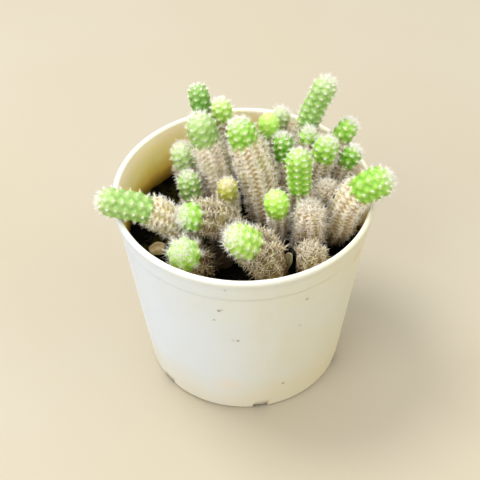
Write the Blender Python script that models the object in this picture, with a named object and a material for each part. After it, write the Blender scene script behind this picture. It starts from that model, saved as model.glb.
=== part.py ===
"""A peanut cactus in a plain plastic pot.

Metres, +Z up. The pot stands on z = 0 about the Z axis, and -Y is its front.
Each stem is one ribbed body with its spines raised from its own surface.
"""

import math
import random
from typing import NamedTuple

import bmesh
import bpy
import numpy as np
from mathutils import Matrix, Vector

MM = 0.001
GAP = 0.3 * MM  # left between pieces that touch

# Pot
POT_HEIGHT = 84 * MM
POT_BASE_RADIUS = 39.3 * MM
POT_TOP_RADIUS = 49.4 * MM
POT_RIM_RADIUS = 50 * MM
POT_WALL = 1.7 * MM
POT_FLOOR = 1.8 * MM
POT_CORNER = 2 * MM
BAND_HEIGHT = 10.5 * MM  # the raised band below the rim
BAND_STEP = 0.35 * MM
LIP_HEIGHT = 3.2 * MM
LIP_ROUND = 1.4 * MM
POT_SIDES = 44
SLOT_COUNT = 6
SLOT_FIRST = math.radians(-81)
SLOT_WIDTH = 6 * MM
SLOT_HEIGHT = 2.6 * MM
SLOT_INNER = 34.5 * MM
SLOT_OUTER = 42 * MM

# Soil
SOIL_TOP = 61 * MM
SOIL_SIDES = 24
SOIL_RINGS = (7.5, 15, 22.5, 30, 37.5, 42)  # mm from the middle
SOIL_BUMP = 0.55 * MM
SOIL_SIDE_GAP = 0.36 * MM  # from the wall, which has flat sides between its corners
ROOT_DEPTH = 4 * MM
HOLE_SIDES = 9

# Stems
COLLAR = 1.5 * MM  # how far a stem rises straight before it bends
FOOT_SHARE = 0.78  # radius at the soil over the widest radius
RIB_DEPTH = 0.19
WAIST_DEPTH = 0.06  # where the new green growth starts
WAIST_LENGTH = 1.6 * MM
BARE_LENGTH = 7 * MM  # no areoles this near the soil
ROW_STEP = 6.2 * MM
DOME_ANGLES = (38, 70)  # degrees from the widest ring of the head to its tip
AREOLE_RADIUS = 0.42 * MM
CUSHION_HEIGHT = 0.2 * MM
SPINE_SPLAY = 0.75
TIP_SPLAY = 0.3  # round the tip, so that spines don't cross over it
GREEN_SPINE = 1.1 * MM
CORKY_SPINE = 2.6 * MM
LONG_SPINE = 2.3 * MM
SPINE_SHRINKS = (1.0, 0.75, 0.5, 0.35)  # tried in turn where room is short
CELL_MARGIN = 0.4 * MM
WALL_MARGIN = 0.5 * MM
STEM_SHARP = 32  # degrees between faces, past which a rib's edge shows
GREEN, CORKY, SPINE = range(3)  # a stem's materials
SEED = 27

# sRGB colours, 0 to 255
POT_COLOUR = (226, 222, 210)
SOIL_COLOUR = (48, 36, 24)
CORKY_COLOUR = (178, 160, 128)
SPINE_COLOUR = (236, 226, 200)
PEBBLE_COLOUR = (192, 168, 124)
HUSK_COLOUR = (204, 186, 132)
GREEN_TONES = {
    "fresh": (176, 216, 60),
    "leaf": (120, 190, 50),
    "bluish": (112, 182, 96),
    "olive": (176, 176, 70),
    "corky": CORKY_COLOUR,
}


class Stem(NamedTuple):
    """One stem, in mm. foot is its place in the soil, head the middle of its rounded end."""

    name: str
    foot: tuple
    head: tuple
    aim: tuple
    widest: float
    end: float
    green: float
    tone: str
    lean: tuple = (0, 0, 1)
    reach: float = 0.38
    ribs: int = 8
    fuzzy: bool = False


# Head heights are measured from the plane of the rim.
STEMS = (
    Stem("stem_left_over_rim", (-22, -10), (-48.5, -15.5, 7.4), (-0.93, -0.12, 0.3), 5.7, 5.4, 22, "bluish"),
    Stem("stem_front_left", (-15.5, -24), (-21.5, -29, -6), (-0.15, -0.45, 0.88), 4.9, 5.2, 11, "fresh"),
    Stem(
        "stem_arched", (-8, -14.5), (-17.5, -15, -0.5), (-0.5, -0.6, 0.62), 6, 5.9, 4, "leaf",
        lean=(0.45, 0.4, 0.8), reach=0.6,
    ),
    Stem(
        "stem_front_centre", (11, -27), (-1, -32, 4), (-0.45, -0.33, 0.83), 5.9, 6, 11, "leaf",
        fuzzy=True,
    ),
    Stem("stem_bright_bud", (13.5, -6), (12, -12, 4), (-0.1, -0.1, 1), 3.6, 4.8, 11, "fresh", ribs=7),
    Stem("stem_corky_right", (23.5, -14), (24.2, -15.5, 1), (-0.1, -0.2, 1), 4.9, 4.8, 0, "corky"),
    Stem("stem_corky_front", (25, -25), (24.3, -28, -8), (-0.1, -0.3, 1), 4.9, 4.8, 0, "corky"),
    Stem("stem_bright_finger", (22, -2.5), (19.9, -7.5, 20), (-0.05, -0.1, 1), 4.3, 4.7, 23, "leaf"),
    Stem("stem_central", (8.5, 5), (-0.8, 10.5, 18.5), (-0.35, 0.1, 1), 6.9, 5.7, 11, "leaf"),
    Stem("stem_centre_left", (-8.5, 14), (-16.2, 18.2, 15), (-0.3, 0.1, 1), 6, 5.7, 12, "bluish"),
    Stem("stem_back_left", (-11.5, 28), (-17.5, 36, 17), (-0.2, 0.25, 1), 4.1, 4.2, 12, "bluish", ribs=7),
    Stem("stem_back_bud", (-2, 25), (-8.6, 29.4, 15), (-0.2, 0.2, 1), 4, 4.1, 10, "leaf", ribs=7),
    Stem("stem_smooth_bud", (9.5, 20.5), (9.7, 24.2, 12), (0, 0.1, 1), 4, 4.2, 9.5, "fresh", ribs=7),
    Stem("stem_back_low", (11.5, 36.5), (14.8, 38, 4), (0.2, 0, 1), 3.7, 3.7, 8, "bluish", ribs=7),
    Stem("stem_behind_finger", (17, 13), (15, 15.6, 9), (-0.1, 0.1, 1), 3.9, 4, 12, "leaf", ribs=7),
    Stem(
        "stem_fuzzy_bud", (22.5, 21), (24.9, 19, 9), (0.1, -0.1, 1), 3.9, 3.9, 4.5, "leaf",
        ribs=7, fuzzy=True,
    ),
    Stem("stem_right_light", (25.5, 10.5), (30.9, 7.8, 13), (0.2, -0.1, 1), 4.5, 4.7, 12, "leaf"),
    Stem("stem_right_small", (36, 11), (41.1, 10.7, 7), (0.5, 0.1, 1), 3.7, 3.7, 9, "leaf", ribs=7),
    Stem("stem_back_right", (31, 20), (40, 23.5, 9.5), (0.55, 0.25, 0.8), 4, 4.1, 10, "leaf", ribs=7),
    Stem("stem_tall_back", (19.5, 32), (31, 28.4, 25.5), (0.4, -0.06, 1), 4.5, 4.5, 24, "bluish"),
    Stem(
        "stem_right_over_rim", (33.5, -4), (48.6, -10.7, 12), (0.8, -0.15, 0.5), 6.1, 6, 13.5, "leaf",
        lean=(0.45, -0.25, 1),
    ),
    Stem("stem_pale_stub", (29, 3.5), (31.4, -1.2, 0), (0, -0.2, 1), 3.5, 3.5, 0, "corky", ribs=7),
    Stem("stem_left_shaded", (-20.5, 22), (-23.8, 23.6, -3), (-0.2, 0, 1), 4.7, 4.8, 10, "bluish"),
    Stem("stem_left_green", (-19, 6), (-21.2, 7, -3), (-0.1, 0, 1), 4.2, 4.4, 13, "bluish", ribs=7),
    Stem("stem_olive_bud", (-5.5, 3), (-6.2, -0.8, 1), (0, -0.1, 1), 3.9, 4.1, 8, "olive", ribs=7),
)

# Small loose things on the soil
PEBBLE_PLACE = (-33.5, -10.5)
PEBBLE_SIZE = Vector((7.4, 6.2, 3.6)) * MM
PEBBLE_TURN = math.radians(35)
PEBBLE_FLAT = 0.22  # how far below its middle it is flat, over its height
LOOSE_LIFT = 0.6 * MM  # what lies on the soil clears its bumps by this
HUSK_PLACE = (15.6, -21.2)
HUSK_LENGTH = 8.6 * MM
HUSK_WIDTH = 3.4 * MM
HUSK_THICKNESS = 0.7 * MM
HUSK_CURL = 1.1 * MM
HUSK_TILT = (math.radians(-12), math.radians(9), math.radians(-20))


def clear_scene():
    for obj in list(bpy.data.objects):
        bpy.data.objects.remove(obj)


def linear(channel):
    share = channel / 255
    return share / 12.92 if share <= 0.04045 else ((share + 0.055) / 1.055) ** 2.4


def plain_material(name, colour, roughness):
    material = bpy.data.materials.new(name)
    material.use_nodes = True
    shader = material.node_tree.nodes["Principled BSDF"]
    shader.inputs["Base Color"].default_value = (*(linear(c) for c in colour), 1)
    shader.inputs["Roughness"].default_value = roughness
    shader.inputs["Metallic"].default_value = 0
    material.diffuse_color = shader.inputs["Base Color"].default_value
    return material


def add_object(name, mesh, materials, place=(0, 0, 0)):
    obj = bpy.data.objects.new(name, mesh)
    bpy.context.collection.objects.link(obj)
    for material in materials:
        mesh.materials.append(material)
    obj.location = place
    return obj


def mesh_from(bm, name):
    bmesh.ops.recalc_face_normals(bm, faces=bm.faces)
    # A spine that stands out furthest can turn all the faces inwards.
    if bm.calc_volume(signed=True) < 0:
        bmesh.ops.reverse_faces(bm, faces=bm.faces)
    mesh = bpy.data.meshes.new(name)
    bm.to_mesh(mesh)
    bm.free()
    return mesh


def turned_mesh(name, profile, sides):
    """The closed solid that a profile of (radius, height) points sweeps round the Z axis."""
    bm = bmesh.new()
    points = [bm.verts.new((radius, 0, height)) for radius, height in profile]
    edges = [bm.edges.new(pair) for pair in zip(points, points[1:])]
    bmesh.ops.spin(
        bm, geom=points + edges, cent=(0, 0, 0), axis=(0, 0, 1), angle=2 * math.pi, steps=sides
    )
    bmesh.ops.remove_doubles(bm, verts=bm.verts, dist=0.001 * MM)
    return mesh_from(bm, name)


def shade_round(mesh, sharp_degrees):
    mesh.shade_smooth()
    mesh.set_sharp_from_angle(angle=math.radians(sharp_degrees))


def cut_with(obj, cutter):
    cut = obj.modifiers.new("cut", "BOOLEAN")
    cut.operation = "DIFFERENCE"
    cut.solver = "EXACT"
    cut.object = cutter
    cutter.hide_render = True
    cutter.display_type = "WIRE"


def pot_outer(height):
    return POT_BASE_RADIUS + (POT_TOP_RADIUS - POT_BASE_RADIUS) * height / POT_HEIGHT


def pot_inner(height):
    return pot_outer(height) - POT_WALL


def arc(centre, radii, start, end, steps):
    """Points on an elliptic arc, with its angles in degrees."""
    for step in range(steps + 1):
        angle = math.radians(start + (end - start) * step / steps)
        yield centre[0] + radii[0] * math.cos(angle), centre[1] + radii[1] * math.sin(angle)


def pot_profile():
    band_foot = POT_HEIGHT - BAND_HEIGHT
    lip_foot = POT_HEIGHT - LIP_HEIGHT
    lip_middle = (POT_RIM_RADIUS + pot_inner(POT_HEIGHT)) / 2
    lip_half = POT_RIM_RADIUS - lip_middle
    corner = (pot_outer(POT_CORNER) - POT_CORNER, POT_CORNER)
    return [
        (0, 0),
        *arc(corner, (POT_CORNER, POT_CORNER), -90, 0, 3),
        (pot_outer(band_foot), band_foot),
        (pot_outer(band_foot) + BAND_STEP, band_foot + BAND_STEP),
        (pot_outer(lip_foot) + BAND_STEP, lip_foot),
        *arc((lip_middle, POT_HEIGHT - LIP_ROUND), (lip_half, LIP_ROUND), 0, 180, 6),
        (pot_inner(POT_FLOOR), POT_FLOOR),
        (0, POT_FLOOR),
    ]


def add_pot():
    mesh = turned_mesh("pot", pot_profile(), POT_SIDES)
    shade_round(mesh, 35)
    pot = add_object("pot", mesh, [plain_material("pot_plastic", POT_COLOUR, 0.45)])
    cut_with(pot, add_slot_cutter())
    return pot


def add_slot_cutter():
    """Six drain slots through the corner of the floor and the wall."""
    bm = bmesh.new()
    size = (SLOT_OUTER - SLOT_INNER, SLOT_WIDTH, 2 * SLOT_HEIGHT)
    for number in range(SLOT_COUNT):
        angle = SLOT_FIRST + 2 * math.pi * number / SLOT_COUNT
        box = bmesh.ops.create_cube(bm, size=1)["verts"]
        bmesh.ops.scale(bm, vec=size, verts=box)
        bmesh.ops.translate(bm, vec=((SLOT_INNER + SLOT_OUTER) / 2, 0, 0), verts=box)
        bmesh.ops.rotate(bm, cent=(0, 0, 0), matrix=Matrix.Rotation(angle, 3, "Z"), verts=box)
    return add_object("pot_slot_cutter", mesh_from(bm, "pot_slot_cutter"), [])


def soil_height(x, y):
    """Low uneven bumps: one wave along each axis, and a third slantwise."""
    a, b = x / MM, y / MM
    crossing = math.sin(a / 3.2 + 0.9) * math.cos(b / 3.7)
    slanting = math.sin((b - 1.2 * a) / 5.3 + 2)
    return SOIL_TOP + SOIL_BUMP * (crossing + 0.7 * slanting)


def add_soil():
    low = POT_FLOOR + GAP
    profile = [(0, low), (pot_inner(low) - SOIL_SIDE_GAP, low)]
    profile.append((pot_inner(SOIL_TOP) - SOIL_SIDE_GAP, SOIL_TOP))
    profile += [(ring * MM, SOIL_TOP) for ring in reversed(SOIL_RINGS)]
    profile.append((0, SOIL_TOP))
    mesh = turned_mesh("soil", profile, SOIL_SIDES)
    for vertex in mesh.vertices:
        if vertex.co.z > SOIL_TOP - MM:
            vertex.co.z = soil_height(vertex.co.x, vertex.co.y)
    soil = add_object("soil", mesh, [plain_material("soil", SOIL_COLOUR, 0.95)])
    cut_with(soil, add_root_cutter())
    return soil


def add_root_cutter():
    """One plain round hole for each stem's root."""
    bm = bmesh.new()
    above = 3 * MM
    depth = above + ROOT_DEPTH + GAP
    middle = SOIL_TOP + above - depth / 2
    for stem in STEMS:
        radius = (FOOT_SHARE * stem.widest * MM + GAP) / math.cos(math.pi / HOLE_SIDES)
        hole = bmesh.ops.create_cone(
            bm, cap_ends=True, segments=HOLE_SIDES, radius1=radius, radius2=radius, depth=depth
        )["verts"]
        bmesh.ops.translate(bm, vec=(stem.foot[0] * MM, stem.foot[1] * MM, middle), verts=hole)
    return add_object("soil_hole_cutter", mesh_from(bm, "soil_hole_cutter"), [])


class Axis:
    """The middle line of a stem above its collar, sampled finely, with its length and radii."""

    SAMPLES = 80

    def __init__(self, stem):
        self.stem = stem
        base = np.array([stem.foot[0] * MM, stem.foot[1] * MM, SOIL_TOP + COLLAR])
        head = np.array(stem.head) * MM + [0, 0, POT_HEIGHT]
        self.aim = unit(np.array(stem.aim))
        lean = unit(np.array(stem.lean))
        reach = stem.reach * np.linalg.norm(head - base)
        t = np.linspace(0, 1, self.SAMPLES)[:, None]
        pull_low = base + lean * reach
        pull_high = head - self.aim * reach
        self.points = (
            (1 - t) ** 3 * base
            + 3 * (1 - t) ** 2 * t * pull_low
            + 3 * (1 - t) * t**2 * pull_high
            + t**3 * head
        )
        steps = np.linalg.norm(np.diff(self.points, axis=0), axis=1)
        self.lengths = np.concatenate([[0], np.cumsum(steps)])
        self.length = self.lengths[-1]
        self.radii = self.radius(self.lengths)
        self.green_from = self.length + stem.end * MM - stem.green * MM

    def radius(self, along):
        """The radius over the ribs at a length above the collar."""
        stem = self.stem
        share = np.asarray(along) / self.length
        keys = (FOOT_SHARE * stem.widest, 0.97 * stem.widest, stem.widest, stem.end)
        plain = np.interp(share, (0, 0.3, 0.62, 1), keys) * MM
        from_waist = (along - (self.length + (stem.end - stem.green) * MM)) / WAIST_LENGTH
        return plain * (1 - WAIST_DEPTH * np.exp(-(from_waist**2)) * (stem.green > 0))

    def point(self, along):
        return np.array([np.interp(along, self.lengths, self.points[:, k]) for k in range(3)])

    def direction(self, along):
        step = 0.4 * MM
        low, high = max(along - step, 0), min(along + step, self.length)
        return unit(self.point(high) - self.point(low))

    def gap_to(self, place):
        """How far a point lies outside this stem's ribs."""
        return float((np.linalg.norm(self.points - place, axis=1) - self.radii).min())


def wall_gap(place):
    """How far a point lies from the pot's wall and rim."""
    radius = math.hypot(place[0], place[1])
    half = POT_WALL / 2
    low = np.array([pot_outer(0) - half, 0])
    high = np.array([(POT_RIM_RADIUS + pot_inner(POT_HEIGHT)) / 2, POT_HEIGHT - LIP_ROUND])
    along = high - low
    here = np.array([radius, place[2]]) - low
    share = min(max(float(here @ along) / float(along @ along), 0), 1)
    return float(np.linalg.norm(here - share * along)) - LIP_ROUND


class Row(NamedTuple):
    """One ring of a stem: its middle, its two cross directions, its radii and what grows there."""

    middle: np.ndarray
    side: np.ndarray
    up: np.ndarray
    crest: float
    valley: float
    along: float
    spiny: bool


def unit(vector):
    return vector / np.linalg.norm(vector)


def cross_directions(direction):
    side = unit(np.cross(direction, (0, 1, 0)))
    return side, np.cross(side, direction)


def stem_rows(axis):
    stem = axis.stem
    root = FOOT_SHARE * stem.widest * MM
    straight = cross_directions(np.array([0, 0, 1.0]))
    rows = [
        Row(axis.points[0] - [0, 0, COLLAR + ROOT_DEPTH], *straight, root, root, 0, False),
        Row(axis.points[0], *straight, root, root * (1 - RIB_DEPTH / 2), 0, False),
    ]
    count = max(round((axis.length - BARE_LENGTH) / ROW_STEP), 1)
    for along in np.linspace(BARE_LENGTH, axis.length, count + 1):
        radius = float(axis.radius(along))
        cross = cross_directions(axis.direction(along))
        rows.append(
            Row(axis.point(along), *cross, radius, radius * (1 - RIB_DEPTH), along, True)
        )
    end = stem.end * MM
    cross = cross_directions(axis.aim)
    for degrees in DOME_ANGLES:
        angle = math.radians(degrees)
        radius = end * math.cos(angle)
        middle = axis.points[-1] + axis.aim * end * math.sin(angle)
        valley = radius * (1 - RIB_DEPTH)
        along = axis.length + end * math.sin(angle)
        rows.append(Row(middle, *cross, radius, valley, along, True))
    return rows


def spine_length(stem, axis, along, draw):
    if along < axis.green_from:
        length = CORKY_SPINE
    else:
        length = LONG_SPINE if stem.fuzzy else GREEN_SPINE
    return length * draw.uniform(0.8, 1.1)


def fitted_spine(root, direction, length, axis, others):
    """The longest allowed spine that stays nearer its own stem than anything else, or None."""
    for shrink in SPINE_SHRINKS:
        tip = root + direction * length * shrink
        own = axis.gap_to(tip)
        clear = min((other.gap_to(tip) for other in others), default=1) - own > CELL_MARGIN
        above_soil = tip[2] - soil_height(tip[0], tip[1]) > WALL_MARGIN
        if clear and above_soil and wall_gap(tip) > WALL_MARGIN:
            return tip
    return None


class StemMesh:
    """Gathers a stem's vertices and faces, and each face's material."""

    def __init__(self, axis, others, draw):
        self.axis = axis
        self.others = others
        self.draw = draw
        self.columns = 2 * axis.stem.ribs
        self.turn = draw.uniform(0, math.pi)
        self.places = []
        self.faces = []
        self.kinds = []

    def vertex(self, place):
        self.places.append(place)
        return len(self.places) - 1

    def face(self, corners, kind):
        self.faces.append(corners)
        self.kinds.append(kind)

    def ring(self, row):
        ring = []
        for column in range(self.columns):
            angle = self.turn + 2 * math.pi * column / self.columns
            out = math.cos(angle) * row.side + math.sin(angle) * row.up
            radius = row.crest if column % 2 == 0 else row.valley
            ring.append(self.vertex(row.middle + out * radius))
        return ring

    def build(self):
        rows = stem_rows(self.axis)
        rings = [self.ring(row) for row in rows]
        end = self.axis.stem.end * MM
        tip = self.vertex(self.axis.points[-1] + self.axis.aim * end)
        rings.append([tip] * self.columns)
        self.face(tuple(reversed(rings[0])), CORKY)
        areoles = self.grow_areoles(rows, rings)
        for low, row in enumerate(rows):
            kind = GREEN if row.along >= self.axis.green_from else CORKY
            for column in range(self.columns):
                self.skin_quad(rings, areoles, low, low + 1, column, kind)

    def grow_areoles(self, rows, rings):
        """Every other crest of a row carries an areole, and the next row takes the ones between."""
        areoles = {}
        ribs = self.axis.stem.ribs
        for number, row in enumerate(rows):
            if not row.spiny:
                continue
            # Round the tip there's no room on two ribs side by side, as an odd count would have.
            last = ribs - ribs % 2 if row is rows[-1] else ribs
            for rib in range(number % 2, last, 2):
                areoles[number, 2 * rib] = self.areole(rows, rings, number, 2 * rib)
        return areoles

    def areole(self, rows, rings, number, column):
        """Three corners round a crest point, a raised middle, and a spine on each third."""
        row = rows[number]
        here = self.places[rings[number][column]]
        up = unit(self.places[rings[number + 1][column]] - here)
        left, right = (
            unit(across - up * (across @ up))
            for across in (
                self.places[rings[number][column - 1]] - here,
                self.places[rings[number][(column + 1) % self.columns]] - here,
            )
        )
        out = unit(np.cross(up, left - right))
        if out @ (here - row.middle) < 0:
            out = -out
        corners = [up, 0.87 * left - 0.5 * up, 0.87 * right - 0.5 * up]
        top, left, right = (self.vertex(here + AREOLE_RADIUS * corner) for corner in corners)
        centre = self.vertex(here + CUSHION_HEIGHT * out)
        splay = TIP_SPLAY if row is rows[-1] else SPINE_SPLAY
        for first, second in ((top, left), (left, right), (right, top)):
            self.spine(centre, first, second, out, splay, row.along)
        return top, left, right

    def spine(self, centre, first, second, out, splay, along):
        """A three-sided spine on one third of an areole, or a plain face where it has no room."""
        root = (self.places[centre] + self.places[first] + self.places[second]) / 3
        spread = (self.places[first] + self.places[second]) / 2 - self.places[centre]
        direction = unit(out + splay * unit(spread - out * (spread @ out)))
        length = spine_length(self.axis.stem, self.axis, along, self.draw)
        tip = fitted_spine(root, direction, length, self.axis, self.others)
        if tip is None:
            self.face((centre, first, second), SPINE)
            return
        point = self.vertex(tip)
        for pair in ((centre, first), (first, second), (second, centre)):
            self.face((*pair, point), SPINE)

    def skin_quad(self, rings, areoles, low, high, column, kind):
        """Skins one cell between two rings, going round the corners of any areole that it meets."""
        beside = (column + 1) % self.columns
        corners = []
        fan_from = 0
        for number, place in ((low, column), (low, beside), (high, beside), (high, column)):
            areole = areoles.get((number, place))
            if areole is None:
                corners.append(rings[number][place])
                continue
            top, left, right = areole
            if number == high:
                corners.append(left if place == beside else right)
                continue
            corners += [top, right] if place == column else [left, top]
            fan_from = 3 if place == column else 4
        corners = corners[fan_from:] + corners[:fan_from]
        for triangle in zip(corners[:1] * len(corners), corners[1:], corners[2:]):
            if len(set(triangle)) == 3:
                self.face(triangle, kind)
        if (high, column) in areoles:
            _, left, right = areoles[high, column]
            self.face((rings[low][column], right, left), kind)


def add_stem(axis, others, materials, draw):
    grown = StemMesh(axis, others, draw)
    grown.build()
    stem = axis.stem
    place = Vector((stem.foot[0] * MM, stem.foot[1] * MM, SOIL_TOP))
    bm = bmesh.new()
    used = {index for face in grown.faces for index in face}
    points = {index: bm.verts.new(Vector(grown.places[index]) - place) for index in sorted(used)}
    for corners, kind in sorted(zip(grown.faces, grown.kinds), key=lambda face: face[1] == SPINE):
        bm.faces.new([points[index] for index in corners]).material_index = kind
    mesh = mesh_from(bm, stem.name)
    shade_round(mesh, STEM_SHARP)
    return add_object(stem.name, mesh, materials, place)


def add_stems():
    draw = random.Random(SEED)
    corky = plain_material("stem_corky", CORKY_COLOUR, 0.85)
    spine = plain_material("spine", SPINE_COLOUR, 0.7)
    greens = {
        tone: plain_material("stem_" + tone, colour, 0.55) for tone, colour in GREEN_TONES.items()
    }
    axes = [Axis(stem) for stem in STEMS]
    for axis in axes:
        others = [other for other in axes if other is not axis]
        add_stem(axis, others, [greens[axis.stem.tone], corky, spine], draw)


def add_pebble():
    """A flat-bottomed chip of stone on the soil."""
    bm = bmesh.new()
    bmesh.ops.create_icosphere(bm, subdivisions=2, radius=0.5)
    draw = random.Random(SEED)
    for vertex in bm.verts:
        vertex.co *= draw.uniform(0.86, 1.08)
        vertex.co.z = max(vertex.co.z, -PEBBLE_FLAT)
    bmesh.ops.scale(bm, vec=PEBBLE_SIZE, verts=bm.verts)
    bmesh.ops.dissolve_limit(bm, angle_limit=math.radians(1), verts=bm.verts, edges=bm.edges)
    bmesh.ops.triangulate(bm, faces=bm.faces)
    mesh = mesh_from(bm, "pebble")
    mesh.shade_flat()
    x, y = (value * MM for value in PEBBLE_PLACE)
    z = soil_height(x, y) + PEBBLE_FLAT * PEBBLE_SIZE.z + LOOSE_LIFT
    material = plain_material("pebble", PEBBLE_COLOUR, 0.8)
    pebble = add_object("pebble", mesh, [material], (x, y, z))
    pebble.rotation_euler.z = PEBBLE_TURN
    return pebble


def husk_point(share, across, offset):
    """A point of the husk, at a share of its length and from -1 to 1 across it."""
    half = HUSK_WIDTH / 2 * (0.16 + 0.84 * math.sin(math.pi * (0.08 + 0.72 * share)))
    x = across * half
    y = offset - HUSK_CURL * ((2 * x / HUSK_WIDTH) ** 2 + share**2)
    return x, y, HUSK_LENGTH * share


def add_husk():
    """A dried scale of a stem, pointed at its foot, curled both ways and stood on its point."""
    bm = bmesh.new()
    shares = np.linspace(0, 1, 7)
    widths = np.linspace(-1, 1, 5)
    sheets = [
        [[bm.verts.new(husk_point(share, across, offset)) for across in widths] for share in shares]
        for offset in (0, HUSK_THICKNESS)
    ]
    for sheet in sheets:
        for low, high in zip(sheet, sheet[1:]):
            for k in range(len(widths) - 1):
                bm.faces.new((low[k], low[k + 1], high[k + 1], high[k]))
    front, back = sheets
    rim = front[0][:-1] + [row[-1] for row in front[:-1]]
    rim += front[-1][:0:-1] + [row[0] for row in front[:0:-1]]
    twin = back[0][:-1] + [row[-1] for row in back[:-1]]
    twin += back[-1][:0:-1] + [row[0] for row in back[:0:-1]]
    for k in range(len(rim)):
        bm.faces.new((rim[k - 1], rim[k], twin[k], twin[k - 1]))
    bmesh.ops.triangulate(bm, faces=bm.faces)
    mesh = mesh_from(bm, "dry_husk")
    shade_round(mesh, 40)
    x, y = (value * MM for value in HUSK_PLACE)
    material = plain_material("dry_husk", HUSK_COLOUR, 0.8)
    husk = add_object("dry_husk", mesh, [material], (x, y, soil_height(x, y) + LOOSE_LIFT))
    husk.rotation_euler = HUSK_TILT
    return husk


clear_scene()
add_pot()
add_soil()
add_stems()
add_pebble()
add_husk()
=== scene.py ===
"""The looks of a potted peanut cactus, built round its frame.

Metres, +Z up. The pot stands on z = 0 about the Z axis, and -Y is its front.
"""

import math
from typing import NamedTuple

import bmesh
import bpy
import numpy as np
from mathutils import Matrix, Vector


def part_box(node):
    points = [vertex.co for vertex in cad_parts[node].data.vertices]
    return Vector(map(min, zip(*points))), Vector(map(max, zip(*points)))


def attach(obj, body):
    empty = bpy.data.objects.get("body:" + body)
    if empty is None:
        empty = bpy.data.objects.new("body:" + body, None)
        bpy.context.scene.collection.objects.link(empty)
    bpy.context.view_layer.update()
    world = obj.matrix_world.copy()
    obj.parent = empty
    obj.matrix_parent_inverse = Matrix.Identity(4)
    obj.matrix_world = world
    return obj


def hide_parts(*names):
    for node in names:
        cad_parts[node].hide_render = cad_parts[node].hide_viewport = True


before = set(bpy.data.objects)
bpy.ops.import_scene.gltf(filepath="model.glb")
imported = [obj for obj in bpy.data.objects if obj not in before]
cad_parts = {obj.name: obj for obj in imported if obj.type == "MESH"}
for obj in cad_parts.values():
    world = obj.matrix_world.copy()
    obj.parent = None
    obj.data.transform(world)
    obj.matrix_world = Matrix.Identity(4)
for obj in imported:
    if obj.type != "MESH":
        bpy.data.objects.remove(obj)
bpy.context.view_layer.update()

MM = 0.001
SEED = 4127

# Camera, from the rim and the base as they lie in the picture
CAMERA_DISTANCE = 456.7 * MM  # from the middle of the rim's plane
CAMERA_RISE = math.radians(41.93)
CAMERA_PAN = math.radians(-0.20)
CAMERA_TILT = math.radians(-2.45)
CAMERA_ROLL = math.radians(-0.30)
CAMERA_LENS = 90.38
RIM_PLANE = 84.05 * MM

# Pot, the same sizes as the frame's
POT_HEIGHT = 84 * MM
POT_BASE_RADIUS = 39.3 * MM
POT_TOP_RADIUS = 49.4 * MM
POT_RIM_RADIUS = 50 * MM
POT_WALL = 1.7 * MM
POT_FLOOR = 1.8 * MM
POT_CORNER = 2 * MM
BAND_HEIGHT = 10.5 * MM
BAND_STEP = 0.35 * MM
BAND_EASE = 0.6 * MM  # half the height over which the band rises
LIP_HEIGHT = 3.2 * MM
LIP_ROUND = 1.4 * MM
POT_SIDES = 176
# A moulded wall is never quite round: waves round it, their share of its radius and their phase
POT_WARPS = ((2, 0.0016, 0.8), (3, 0.0008, 2))
SLOT_COUNT = 6
SLOT_FIRST = math.radians(-81)
SLOT_WIDTH = 6 * MM
SLOT_HEIGHT = 2.6 * MM
SLOT_INNER = 34.5 * MM
SLOT_OUTER = 42 * MM
SLOT_ROUND = 0.8 * MM

# Soil
SOIL_TOP = 61 * MM
SOIL_BUMP = 0.55 * MM
SOIL_SIDE_GAP = 0.3 * MM
SOIL_BOTTOM = 2.1 * MM
SOIL_SIDE_HEIGHTS = (SOIL_BOTTOM, 20 * MM, 40 * MM, 56 * MM)
SOIL_COLUMNS = 160
SOIL_RINGS = 62
SOIL_WAVES = 14
LONGEST_WAVE = 3.4 * MM
SOIL_LUMP = 0.16 * MM
SOIL_GRAIN = 0.07 * MM
CRUMB_COUNT = 900
CRUMB_SIZES = (0.7, 1.5)  # in mm

# Stems
COLLAR = 1.5 * MM  # a stem's length counts from this far above the soil
ROOT_DEPTH = 3.8 * MM  # how far its foot goes into the soil
FOOT_SHARE = 0.78  # its radius there, as a share of its widest
WAIST_DEPTH = 0.06  # where its green growth starts, as a share of the radius
WAIST_LENGTH = 1.6 * MM
STRAIGHT_LENGTH = 7 * MM  # a stem turns from upright to its own direction over this
CORKY_RIB = 0.07  # depth as a share of the radius
GREEN_RIB = 0.055
OLD_RIB = 0.045  # on a stem without green
CORKY_LUMP = 0.4 * MM
GREEN_LUMP = 0.42 * MM
MEANDER = 0.75  # how far the grooves wind round the swellings, in radians of a rib's half wave
CHIN = 0.12  # how far a swelling's top lies below its areole, as a share of the step
CORKY_STEP = 2.1 * MM  # between areoles up a rib
GREEN_STEP = 3.4 * MM
YOUNG_LENGTH = 10 * MM  # areoles lie closer together this near the tip
FIRST_AREOLE = 0.8 * MM  # above the collar
COLUMNS_PER_RIB = 8
GREEN_ROW = 0.46 * MM  # between the rows of a stem's mesh
CORKY_ROW = 0.68 * MM
LAST_AREOLE = math.radians(72)  # up the dome of a stem's end
AREOLE_SHIFT = 0.12 * MM  # how far areoles lie off their step
WOOL_SIDES = 6
WOOL_RINGS = ((1.0, -0.25), (0.72, 0.42))  # width and height, as shares of a cushion's size
WOOL_TOP = 0.62
OUTER_SPINES = 9
INNER_SPINES = 4
OUTER_LEAN = (52, 82)  # from the surface's normal, in degrees
INNER_LEAN = (8, 42)
COMB_RISE = (-40, 82)  # from level to up the stem, in degrees
BROWN_SHARE = 0.12  # of the bristles on cork
BROWN_PALE = 0.1
GREEN_BRISTLE = 1.25 * MM
CORKY_BRISTLE = 1.9 * MM
GREEN_SCATTER = 0.02  # how far areoles lie off their rib, in radians round the stem
CORKY_SCATTER = 0.09
GREEN_SPINE_WIDTH = 0.068 * MM  # half a bristle's thickness
CORKY_SPINE_WIDTH = 0.125 * MM
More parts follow.
